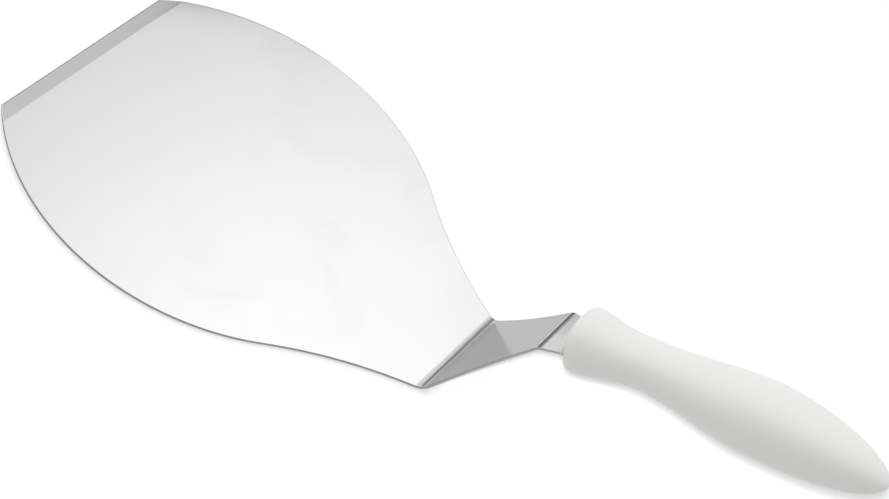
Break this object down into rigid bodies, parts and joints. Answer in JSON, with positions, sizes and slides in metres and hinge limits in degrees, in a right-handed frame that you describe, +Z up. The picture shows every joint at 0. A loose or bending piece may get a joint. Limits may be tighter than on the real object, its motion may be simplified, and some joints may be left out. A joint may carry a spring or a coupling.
{
  "type": "kitchen turner",
  "caption": "Offset kitchen turner: a wide round-sided steel blade with a ground front edge, cranked up to a smooth moulded plastic handle.",
  "frame": {"origin": "under the middle of the turner's length and width, in the plane of the blade's underside", "axes": "+X runs from the blade's front edge towards the handle, +Y across the blade, +Z up out of its upper face"},
  "size_m": [0.3678, 0.1694, 0.0985],
  "materials": {
    "stainless_steel": "satin ground stainless sheet",
    "white_polypropylene": "smooth moulded, satin"
  },
  "bodies": {
    "root": {"blade": "stainless_steel", "handle": "white_polypropylene"}
  },
  "joints": []
}
